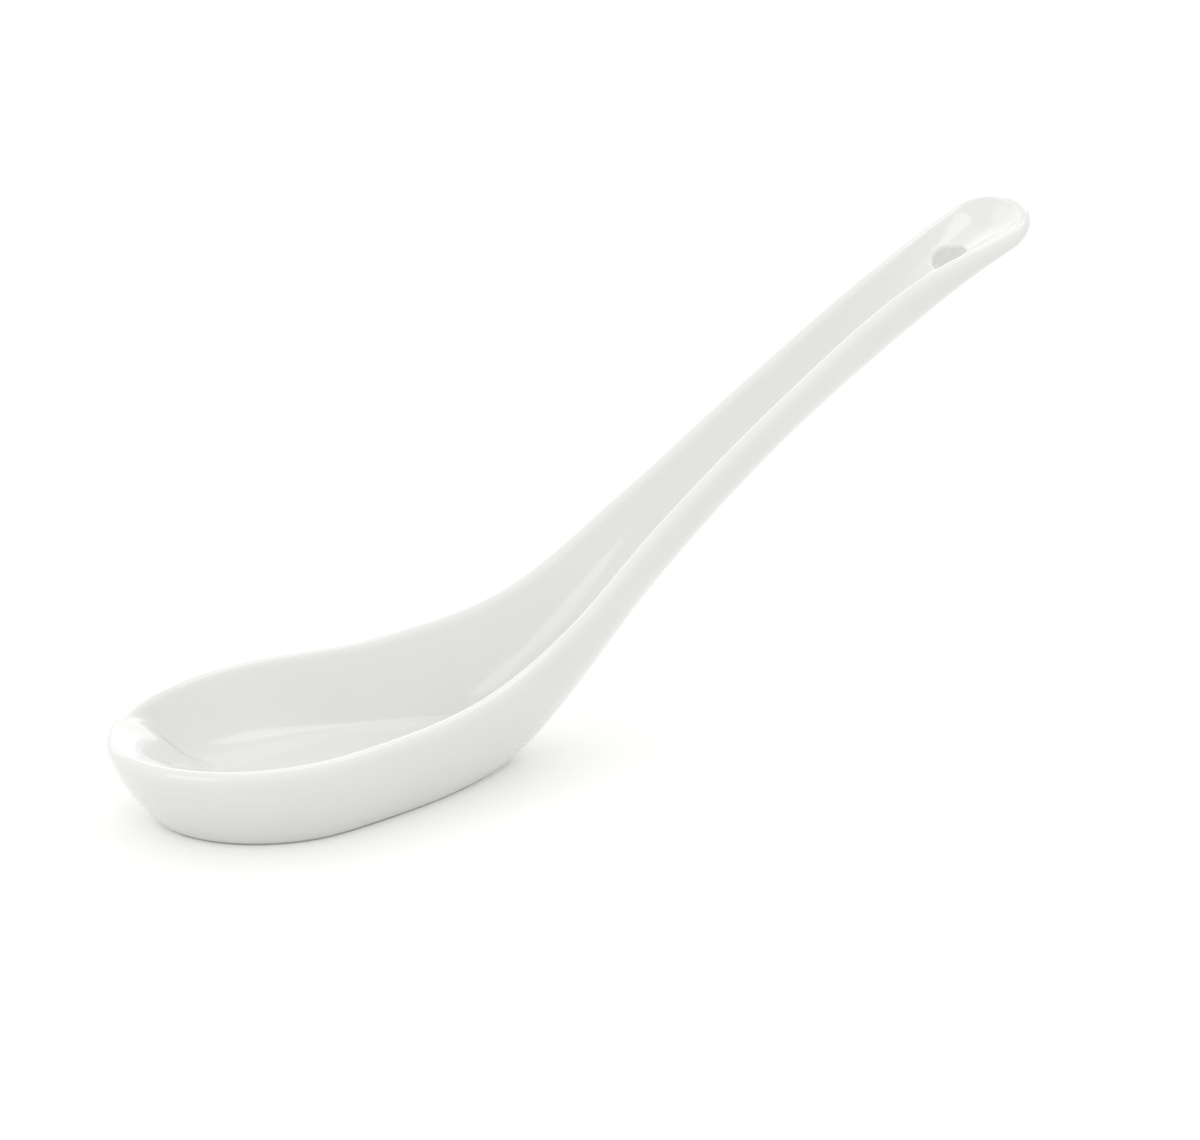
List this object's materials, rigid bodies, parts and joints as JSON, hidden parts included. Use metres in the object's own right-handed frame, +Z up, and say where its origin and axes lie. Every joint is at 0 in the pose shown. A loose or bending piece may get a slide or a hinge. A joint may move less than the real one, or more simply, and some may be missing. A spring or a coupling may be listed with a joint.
{
  "type": "soup spoon",
  "caption": "Deep oval soup spoon that stands on its own flat foot, with a raised, troughed handle and a hanging hole near its end.",
  "frame": {"origin": "middle of the flat foot, on the surface that the spoon stands on", "axes": "+X from the bowl to the end of the handle, +Y across the spoon, +Z up"},
  "size_m": [0.14, 0.038, 0.0676],
  "materials": {
    "bare_clay": "matt",
    "white_glaze": "gloss"
  },
  "bodies": {
    "root": {"porcelain_body": "bare_clay", "glaze_coat": "white_glaze"}
  },
  "joints": []
}
